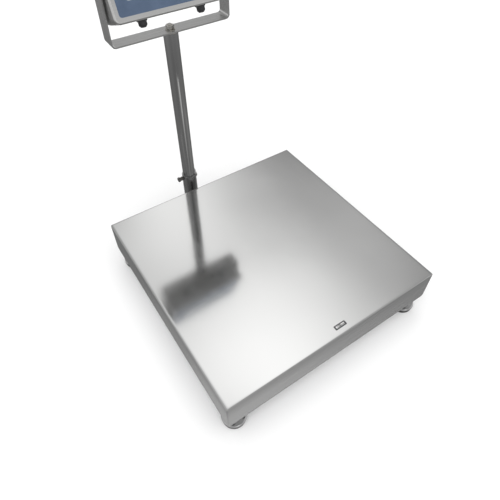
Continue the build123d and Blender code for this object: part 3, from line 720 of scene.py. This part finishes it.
def make_housing_screws():
    """Pan-head screws with a cross recess at the indicator's back."""
    def cross(angle):
        near = abs((angle + math.pi / 4) % (math.pi / 2) - math.pi / 4)
        return 0.55 / max(0.25, math.sin(near)) if near > 0.25 else 2.2

    rows = [
        (-64, 0), (-64, 1.9), (0, 1.9), (0, 4.0), (0.5, 4.0), (1.4, 3.6), (2.1, 2.9), (2.4, 2.4),
        (2.4, cross), (1.1, lambda angle: cross(angle) * 0.6), (1.1, 0),
    ]
    bm = bmesh.new()
    for x in (-128, 128):
        for y in (-88, 88):
            spun(bm, flipped(head_place(x, y, BACK)), rows)
    finish_piece("case_screws", bm, "zinc", "indicator", "fastener_steel", ("housing_screws",))


def make_thumb_nut():
    """Slim clamping nut: a plain neck and a knurled head with a chamfered end."""
    low, high = in_mm(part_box("thumb_nut"))
    joint = Vector(joints["thumb_nut_turn"]["pos_m"]) / MM
    place = frame_at((high.x, joint.y, joint.z), (0, 1, 0), (-1, 0, 0))
    length = high.x - low.x

    def knurl(angle):
        return 7.0 - 0.35 * abs((angle * 24 / math.pi) % 2 - 1)

    rows = [
        (0.0, 0), (0.0, 5.2), (0.5, 5.6), (9.2, 5.4), (10.0, 6.2), (10.6, knurl),
        (length - 1.2, knurl), (length - 0.5, 6.3), (length, 5.6), (length, 0),
    ]
    # The thumb nut takes the near-black plated steel.
    turned("thumb_nut_turned", place, rows, 96, "dark_bolt", "thumb_nut", "fastener_steel",
           ("thumb_nut",), 45)


# Column

def make_column():
    """Polished round tube, and its top plug with a threaded stud."""
    low, high = in_mm(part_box("column"))
    x, y = middle(low, high)
    radius = (high.x - low.x) / 2
    wall, lip, spans = 1.5, 0.35, 24
    place = upright(x, y)
    rows = [(low.z, radius - lip), (low.z + lip, radius)]
    rows += [(low.z + (high.z - low.z) * i / spans, radius) for i in range(1, spans)]
    rows += [
        (high.z - lip, radius), (high.z, radius - lip),
        (high.z, radius - wall), (low.z, radius - wall),
    ]
    turned("column_tube", place, rows, 96, "column", "base", "column_steel", ("column",), ring=True)

    plug_low, plug_high = in_mm(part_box("column_top_plug"))
    seat = joints["indicator_swivel"]["pos_m"][2] / MM
    neck = radius - wall - 0.2
    bm = bmesh.new()
    spun(bm, place, rounded_rows([
        (plug_low.z, 0), (plug_low.z, neck), (high.z, neck), (high.z, radius), (seat, radius), (seat, 0),
    ], 0.4, 3), 64)
    threaded(bm, upright(x, y, seat), plug_high.z - seat, 5, 1.5)
    finish_piece("top_plug", bm, "zinc", "base", "column_steel", ("column_top_plug",))


def make_bracket():
    """Arm under the rear beam and a close-fitting sleeve with a raised tab on its right."""
    low, high = in_mm(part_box("column_bracket"))
    column_low, column_high = in_mm(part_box("column"))
    x, y = middle(column_low, column_high)
    outer, inner = high.x - x, (column_high.x - column_low.x) / 2 + 0.1
    arm, tab, lip = 5, 8, 0.5
    arm_top, rim_low = low.z + arm, high.z - tab

    def rim(angle):
        """Rim height: flat, with a round-cornered tab facing right."""
        reach = abs(math.atan2(math.sin(angle), math.cos(angle)))
        share = min(1.0, max(0.0, (math.radians(44) - reach) / math.radians(14)))
        return rim_low + tab * (share * share * (3 - 2 * share))

    rows = [(arm_top + (rim_low - arm_top) * i / 6, outer) for i in range(6)]
    rows += [
        (lambda angle: rim(angle) - lip, outer), (rim, outer - lip),
        (rim, inner + lip * 0.4), (lambda angle: rim(angle) - lip, inner), (arm_top, inner),
    ]
    # Sleeve and arm take the darker bracket steel, painted shade at the column's foot.
    turned("bracket_sleeve", upright(x, y), rows, 144, "bracket", "base", "column_steel",
           ("column_bracket",), 40, ring=True)
    outline = [(-outer, low.y - y), (outer, low.y - y)] + arc(outer, 0, 180, 24)
    plate_piece("bracket_arm", upright(x, y, low.z), [outline], arm, "bracket", "base", "column_steel",
                bevel=0.5)
    bm = bmesh.new()
    weld_ring(bm, upright(x, y, arm_top), outer, 1.6, 96)
    finish_piece("sleeve_weld", bm, "weld", "base", "column_steel", sharp=70)


def make_glands():
    """Cable glands: a hexagon body and a ribbed dome nut with an open rubber seal."""
    hexagon, bore = 5, 4.5

    def ribbed(angle):
        return 9.3 * (1 + 0.022 * math.cos(16 * angle))

    def gland(bm, seal, place, top):
        hex_head(bm, place, hexagon, 12, bore)
        rows = [
            (hexagon, bore), (hexagon, ribbed), (top - 5.0, ribbed), (top - 3.2, 8.4),
            (top - 1.0, 6.4), (top, 5.4), (top, bore),
        ]
        spun(bm, place, rows, 96, ring=True)
        rows = [(top - 6, 3.1), (top - 6, 4.4), (top - 0.3, 4.4), (top - 0.1, 4.0), (top - 0.6, 3.1)]
        spun(seal, place, rows, 40, ring=True)

    low, high = in_mm(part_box("base_gland"))
    beam_z = in_mm(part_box("base_beam_rear"))[0].z
    bm, seal = bmesh.new(), bmesh.new()
    gland(bm, seal, flipped(upright(*middle(low, high), beam_z)), beam_z - low.z)
    finish_piece("cell_cable_gland", bm, "plastic", "base", "black_plastic", ("base_gland",))
    finish_piece("cell_cable_seal", seal, "rubber", "base", "black_rubber")

    bm, seal = bmesh.new(), bmesh.new()
    for x in (-70, 70):
        place = head_place(x, -100, -16) @ Matrix.Rotation(math.radians(90), 4, "X")
        gland(bm, seal, place, 17)
    finish_piece("case_glands", bm, "plastic", "indicator", "black_plastic", ("housing_glands",))
    finish_piece("case_gland_seals", seal, "rubber", "indicator", "black_rubber")


def make_level():
    """Bubble level: cup, green liquid, clear cover and a ring mark."""
    low, high = in_mm(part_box("bubble_level"))
    x, y = middle(low, high)
    radius, height, well = (high.x - low.x) / 2, high.z - low.z, 10.6
    place = upright(x, y, low.z)
    cup = rounded_rows([(0.0, 2), (0.0, radius), (height, radius), (height, well), (2.5, well), (2.5, 2)],
                       0.9, 3)
    turned("level_cup", place, cup, 64, "level", "base", "level_body", ("bubble_level",), ring=True)
    liquid = [(2.6, 0), (2.6, 10.4), (6.6, 10.4), (6.9, 8), (7.1, 0)]
    turned("level_liquid", place, liquid, 48, "liquid", "base", "level_body")
    cover = [(7.2, 0), (7.2, 10.4), (8.2, 10.4), (8.8, 7), (8.9, 0)]
    turned("level_cover", place, cover, 48, "vial", "base", "level_body")
    bm = bmesh.new()
    washer(bm, upright(x, y, low.z + 7.12), 0.06, 4.0, 4.5)
    finish_piece("level_ring", bm, "lcd_segment", "base", "level_body")


def make_bumpers():
    bm = bmesh.new()
    for low, high in solids("platter_bumpers"):
        radius, height = (high.x - low.x) / 2, high.z - low.z
        rows = rounded_rows([(0.0, 0), (0.0, radius), (height, radius), (height, 0)], 0.7)
        spun(bm, upright(*middle(low, high), low.z), rows)
    finish_piece("rubber_bumpers", bm, "rubber", "top_frame", "black_rubber", ("platter_bumpers",))


# Welds

def weld(bm, start, end, radius=1.8):
    """Rippled fillet weld along a straight joint."""
    start, end = Vector(start), Vector(end)
    length = (end - start).length
    along = (end - start).normalized()
    side = along.cross(Vector((0.31, 0.47, 0.83))).normalized()
    up = along.cross(side)
    steps = max(6, int(length / 1.1))
    rings = []
    for i in range(steps + 1):
        s = length * i / steps
        ripple = 0.86 + 0.14 * abs(math.sin(s / 2.2 * math.pi)) + 0.05 * random.uniform(-1, 1)
        taper = min(1.0, 0.25 + min(i, steps - i) / 3)
        ring = []
        for k in range(8):
            angle = 2 * math.pi * k / 8
            out = side * math.cos(angle) + up * math.sin(angle)
            ring.append(bm.verts.new((start + along * s + out * radius * ripple * taper) * MM))
        rings.append(ring)
    closed_skin(bm, rings)


def weld_ring(bm, place, radius, size, segments):
    """Round weld bead where a tube of that radius stands on place's XY plane."""
    rows = []
    for k in range(6):
        angle = 2 * math.pi * k / 6
        rows.append((size * math.sin(angle), radius + size * math.cos(angle)))
    spun(bm, place, rows, segments, ring=True)


def make_welds():
    """Weld beads where tubes and plates of the two frames meet."""
    random.seed(11)
    bm = bmesh.new()
    for node in ("base_beam_front", "base_beam_rear", "cell_beam_front", "cell_beam_rear"):
        low, high = in_mm(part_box(node))
        for x in (low.x, high.x):
            for y in (low.y, high.y):
                weld(bm, (x, y, low.z + 2), (x, y, high.z - 2))
            weld(bm, (x, low.y + 2, high.z), (x, high.y - 2, high.z))
    low, high = in_mm(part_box("cell_plate"))
    for y in (low.y, high.y):
        for z in (low.z, high.z):
            weld(bm, (low.x + 2, y, z), (high.x - 2, y, z), 1.5)
    rail = in_mm(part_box("base_rail_left"))
    for low, high in solids("foot_bushes"):
        for corner in rail:
            weld_ring(bm, upright(*middle(low, high), corner.z), (high.x - low.x) / 2, 1.5, 48)
    finish_piece("base_welds", bm, "weld", "base", "frame_steel", sharp=60)
    bm = bmesh.new()
    for node in ("top_rail_left", "top_rail_right"):
        low, high = in_mm(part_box(node))
        for y in (low.y, high.y):
            for x in (low.x, high.x):
                weld(bm, (x, y, low.z + 1), (x, y, high.z - 1), 1.4)
    low, high = in_mm(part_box("top_plate"))
    for x in (low.x, high.x):
        weld(bm, (x, low.y + 2, high.z), (x, high.y - 2, high.z), 1.4)
    finish_piece("top_welds", bm, "weld", "top_frame", "frame_steel", sharp=60)


def make_cell_details():
    """Silicone potting over the strain gauges, on both sides of the load cell."""
    low, high = in_mm(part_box("load_cell"))
    centre = (low + high) / 2
    rows = [(0.0, 0), (0.0, 13.7), (3.0, 13.7), (3.6, 12), (3.2, 6), (3.1, 0)]
    for name, y, direction in (("front", low.y, -1), ("rear", high.y, 1)):
        place = frame_at((centre.x, y, centre.z), (1, 0, 0), (0, direction, 0))
        bm = bmesh.new()
        for x in (-17, 17):
            spun(bm, place @ Matrix.Translation((x, 0, -4)), rows)
        finish_piece(f"cell_potting_{name}", bm, "potting", "base", "cell_aluminium")


# Indicator

def make_knob(side, name):
    """Seven-lobed clamping knob with a steel insert and a threaded stud."""
    outwards = ACROSS * side
    seat = 146  # from the pivot to the yoke's outer face
    place = frame_at(PIVOT + outwards * seat, (0, 0, 1), outwards)

    def lobed(scale, waist=0.13):
        def radius(angle):
            wave = 0.5 + 0.5 * math.cos(7 * angle)
            return 21 * scale * (1 - waist * (1 - wave) ** 1.4)
        return radius

    rows = [
        (0.1, 3.5), (0.1, 10.4), (0.6, 10.9), (5.4, 11.2), (6.2, lobed(0.86, 0.16)),
        (7.4, lobed(0.98)), (9.0, lobed(1.0)), (17.0, lobed(0.985)), (18.6, lobed(0.95)),
        (19.6, lobed(0.86)), (20.0, lobed(0.72, 0.08)), (19.6, 8.8), (18.8, 7.8), (18.8, 3.5),
    ]
    turned(f"{name}_grip", place, rows, 140, "plastic", name, "black_plastic", (name,), 50, ring=True)
    bm = bmesh.new()
    threaded(bm, flipped(place), 16, 3, 1.0)
    spun(bm, place, [(17.0, 0), (17.0, 7.6), (19.0, 7.6), (19.4, 7.2), (19.4, 0)], 40)
    finish_piece(f"{name}_stud", bm, "zinc", name, "fastener_steel")


def make_front_panel():
    """Printed overlay on the front, with openings for the display and the keys."""
    cuts = [rounded_outline(170.4, 52.4, 3, 6, (0, DISPLAY_Y))]
    lines = [
        rounded_outline(182, 64, 5, 6, (0, DISPLAY_Y)),
        rounded_outline(180.4, 62.4, 4.3, 6, (0, DISPLAY_Y)),
    ]
    for x in KEY_XS:
        cuts.append(rounded_outline(37.4, 25.4, 3.8, 5, (x, KEY_Y)))
        lines.append(rounded_outline(44, 32, 6, 5, (x, KEY_Y)))
        lines.append(rounded_outline(42.6, 30.6, 5.4, 5, (x, KEY_Y)))
    sheet = 0.35
    plate_piece("panel_overlay", head_place(0, 0, FACE), [rounded_outline(256, 176, 6)] + cuts, sheet,
                "overlay", "indicator", "housing_steel", bevel=0.1)
    plate_piece("panel_lines", head_place(0, 0, FACE + sheet), lines, 0.04, "overlay_line",
                "indicator", "housing_steel")


def zero_outlines(x, y, width, height, weight):
    """Outlines of the six lit bars of a seven-segment zero, leaning right a little."""
    w, h = width / 2, height / 2
    bars = (
        ((-w, h), (w, h)), ((w, h), (w, 0)), ((w, 0), (w, -h)),
        ((-w, -h), (w, -h)), ((-w, 0), (-w, -h)), ((-w, h), (-w, 0)),
    )
    outlines = []
    for start, end in bars:
        a, b = Vector(start), Vector(end)
        along = (b - a).normalized()
        a, b = a + along * weight * 0.16, b - along * weight * 0.16
        side = Vector((-along.y, along.x)) * weight / 2
        tip = along * weight / 2
        points = [a, a + tip + side, b - tip + side, b, b - tip - side, a + tip - side]
        outlines.append([(x + p.x + p.y * 0.12, y + p.y) for p in points])
    return outlines


def make_display():
    """Liquid crystal display with a bezel, lit segments and unit bars, behind the lens."""
    back, glass = 14, 25
    plate_piece("display_frame", head_place(0, DISPLAY_Y, back), [rounded_outline(174, 56, 1, 3)],
                glass - back, "plastic", "indicator", "display", ("display_module",), bevel=0.3)
    plate_piece("display_glass", head_place(0, DISPLAY_Y, glass), [rounded_outline(168, 50, 0.8, 3)],
                0.5, "lcd", "indicator", "display", bevel=0.05)
    outlines = []
    for i in range(4):
        outlines += zero_outlines(-38 + 31 * i, 1, 17, 32, 4.2)
    outlines.append(rounded_outline(4.2, 4.2, 1.2, 3, (7, -16.5)))
    for y in (12, 2, -8):
        outlines.append(rounded_outline(7, 1.6, 0.4, 2, (-70, y)))
    outlines.append(strip_outline([(-74, -17), (-70, -13.5), (-66, -17)], 1.3))
    plate_piece("display_segments", head_place(0, DISPLAY_Y, glass + 0.5), outlines, 0.05,
                "lcd_segment", "indicator", "display")


def make_keys():
    """Soft keys with a dished cap and a raised pictogram each."""
    signs = {
        "key_power": [strip_outline(arc(5.6, 125, 415, 30), 1.3), strip_outline([(0, 2.0), (0, 7.4)], 1.3)],
        "key_zero": [arc(6.0, 0, 360, 40)[:-1], arc(4.6, 0, 360, 40)[:-1]]
                    + [rounded_outline(3.6, 1.3, 0.3, 2, (x, 0)) for x in (-10, 10)],
        "key_tare": [[(-6, 5), (6, 5), (0, -1.5)], rounded_outline(14, 1.5, 0.4, 2, (0, -5))],
        "key_print": [rounded_outline(12, 1.3, 0.3, 2, (0, y)) for y in (4.2, 1.4, -1.4, -4.2)],
    }
    base, outline = 26.4, rounded_outline(36, 24, 3)
    for name, x in zip(KEYS, KEY_XS):
        bm = bmesh.new()
        place = head_place(x, KEY_Y, 0)
        loops = []
        for scale_x, scale_y, depth in (
            (1.0, 1.0, base), (1.0, 1.0, 31.0), (0.985, 0.98, 31.35), (0.95, 0.93, 31.55),
            (0.82, 0.76, 31.45), (0.5, 0.45, 31.3),
        ):
            spots = [Vector((px * scale_x, py * scale_y, depth)) for px, py in outline]
            loops.append([bm.verts.new(place @ spot) for spot in spots])
        closed_skin(bm, loops)
        finish_piece(f"{name}_cap", bm, "key", name, "key_rubber", (name,), 50)
        plate_piece(f"{name}_flange", head_place(x, KEY_Y, base), [rounded_outline(40, 28, 4)], 1.45,
                    "key", name, "key_rubber", bevel=0.2)
        plate_piece(f"{name}_sign", head_place(x, KEY_Y, 31.3), signs[name], 0.2,
                    "key_mark", name, "key_rubber")


# Materials on the CAD nodes that stay

def finish_cad_nodes():
    """Gives each shown CAD node its material."""
    finishes = {
        "frame": (
            "base_rail_left", "base_rail_right", "base_beam_front", "base_beam_rear",
            "cell_beam_front", "cell_beam_rear", "cell_plate", "foot_bushes", "top_beam_front",
            "top_beam_rear", "top_rail_left", "top_rail_right", "top_plate",
        ),
        "cell": ("load_cell", "lower_cell_spacer", "upper_cell_spacer"),
        "housing": ("rear_housing", "front_housing", "yoke"),
        "plastic": ("rail_end_plugs",),
        "fibre": ("friction_washers",),
        "battery": ("battery",),
        "rubber": ("housing_gasket",),
        "lens": ("display_lens",),
        "board": ("circuit_board",),
    }
    for finish, nodes in finishes.items():
        for node in nodes:
            for material_slot in frame["nodes"][node].material_slots:
                material_slot.material = MATERIALS[finish]


# Stage, light and camera

def make_floor():
    """Plain pale floor, large enough to fill every view."""
    material, tree = new_material("studio_floor", (0.86, 0.86, 0.86), roughness=0.75)
    into(tree, "Roughness", spread(tree, even_noise(tree, 2.0, 3.0), 0.7, 0.8))
    bm = bmesh.new()
    reach = 40.0  # metres
    corners = ((-reach, -reach), (reach, -reach), (reach, reach), (-reach, reach))
    bm.faces.new([bm.verts.new((x, y, 0.0)) for x, y in corners])
    mesh = bpy.data.meshes.new("floor")
    bm.to_mesh(mesh)
    bm.free()
    mesh.materials.append(material)
    floor = bpy.data.objects.new("floor", mesh)
    floor.visible_glossy = False
    scene.collection.objects.link(floor)


def make_world():
    """Soft studio: tones by height, lightest about the horizon, with round soft lights."""
    world = bpy.data.worlds.new("studio")
    scene.world = world
    world.use_nodes = True
    tree = world.node_tree
    tree.nodes.clear()
    direction = add_node(tree, "TexCoord").outputs["Generated"]
    up = add_node(tree, "SeparateXYZ", {"Vector": direction}).outputs["Z"]
    ramp = add_node(tree, "ValToRGB", {"Fac": maths(tree, "MULTIPLY_ADD", up, 0.5, 0.5)})
    ramp.color_ramp.interpolation = "EASE"
    stops = (  # (0 straight down to 1 straight up, tone)
        (0.0, 0.74), (0.03, 0.66), (0.07, 0.42), (0.12, 0.28), (0.27, 0.25), (0.34, 0.34),
        (0.42, 0.55), (0.485, 0.95), (0.60, 1.0), (0.70, 0.45), (0.80, 0.40), (1.0, 0.45),
    )
    while len(ramp.color_ramp.elements) < len(stops):
        ramp.color_ramp.elements.new(0.5)
    for element, (position, tone) in zip(ramp.color_ramp.elements, stops):
        element.position = position
        element.color = (tone, tone, tone, 1.0)
    lobes = (  # (towards, sharpness, amount); an amount below 0 is a shade
        ((0.25, 0.69, 0.68), 85, 1.1),
        ((0.288, 0.354, 0.89), 28, 1.62),
        ((0.8, -0.45, 0.40), 9, 0.45),
        ((-0.2, -0.97, 0.12), 16, 0.6),
        ((-0.9, 0.1, 0.35), 5, 0.5),
        ((-0.05, -0.86, 0.50), 80, 1.5),
        ((-0.05, -0.72, 0.69), 50, -0.42),
        ((0.45, -0.35, -0.82), 6, 0.14),
        ((0.66, 0.18, 0.73), 14, -0.10),
    )
    total = ramp.outputs["Color"]
    for towards, sharpness, amount in lobes:
        inputs = {0: direction, 1: Vector(towards).normalized()}
        dot = add_node(tree, "VectorMath", inputs, operation="DOT_PRODUCT").outputs["Value"]
        off = maths(tree, "MULTIPLY_ADD", dot, sharpness, -sharpness)
        light = maths(tree, "MULTIPLY", maths(tree, "EXPONENT", off), amount)
        total = maths(tree, "ADD", total, light)
    background = add_node(tree, "Background", {"Strength": total})
    add_node(tree, "OutputWorld", {"Surface": background.outputs["Background"]})


def make_lights():
    """Broad overhead light on the matte surfaces; the steel shows only the studio's tones."""
    light = bpy.data.lights.new("overhead", "SUN")
    light.energy = 2.55
    light.angle = math.radians(80)
    lamp = bpy.data.objects.new("overhead", light)
    lamp.rotation_euler = Vector((-0.25, -0.35, 1.0)).to_track_quat("Z", "Y").to_euler()
    lamp.visible_glossy = False
    scene.collection.objects.link(lamp)


def make_camera():
    """Camera in front of the left corner, high above the platter."""
    low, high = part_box("platter")
    top_centre = Vector((*middle(low, high), high.z))
    azimuth, elevation = math.radians(-33.82), math.radians(47.1)
    back = Vector((
        math.sin(azimuth) * math.cos(elevation),
        -math.cos(azimuth) * math.cos(elevation),
        math.sin(elevation),
    ))
    camera = bpy.data.cameras.new("camera")
    camera.lens = 32.17
    camera.shift_y = -0.05
    camera.clip_end = 100
    holder = bpy.data.objects.new("camera", camera)
    holder.location = top_centre + Vector((-0.4449, -0.5984, 0.8904))
    holder.rotation_euler = back.to_track_quat("Z", "Y").to_euler()
    scene.collection.objects.link(holder)
    scene.camera = holder


def main():
    scene.view_settings.view_transform = "Standard"
    make_camera()
    make_world()
    make_floor()
    make_lights()
    make_materials()
    make_platter()
    make_badge()
    for corner in CORNERS:
        make_foot(corner)
    make_jam_nuts()
    make_bolts("overload_stops", "stop_screws", "base", True)
    make_bolts("arm_bolts", "bracket_bolts", "base", True)
    make_bolts("cell_screws_low", "lower_cell_screws", "base", True)
    make_bolts("cell_screws_high", "upper_cell_screws", "top_frame", False)
    make_cross_bolts()
    make_nuts()
    make_housing_screws()
    make_thumb_nut()
    make_column()
    make_bracket()
    make_glands()
    make_level()
    make_bumpers()
    make_welds()
    make_cell_details()
    for side, name in ((-1, "tilt_knob_left"), (1, "tilt_knob_right")):
        make_knob(side, name)
    make_front_panel()
    make_display()
    make_keys()
    finish_cad_nodes()


main()
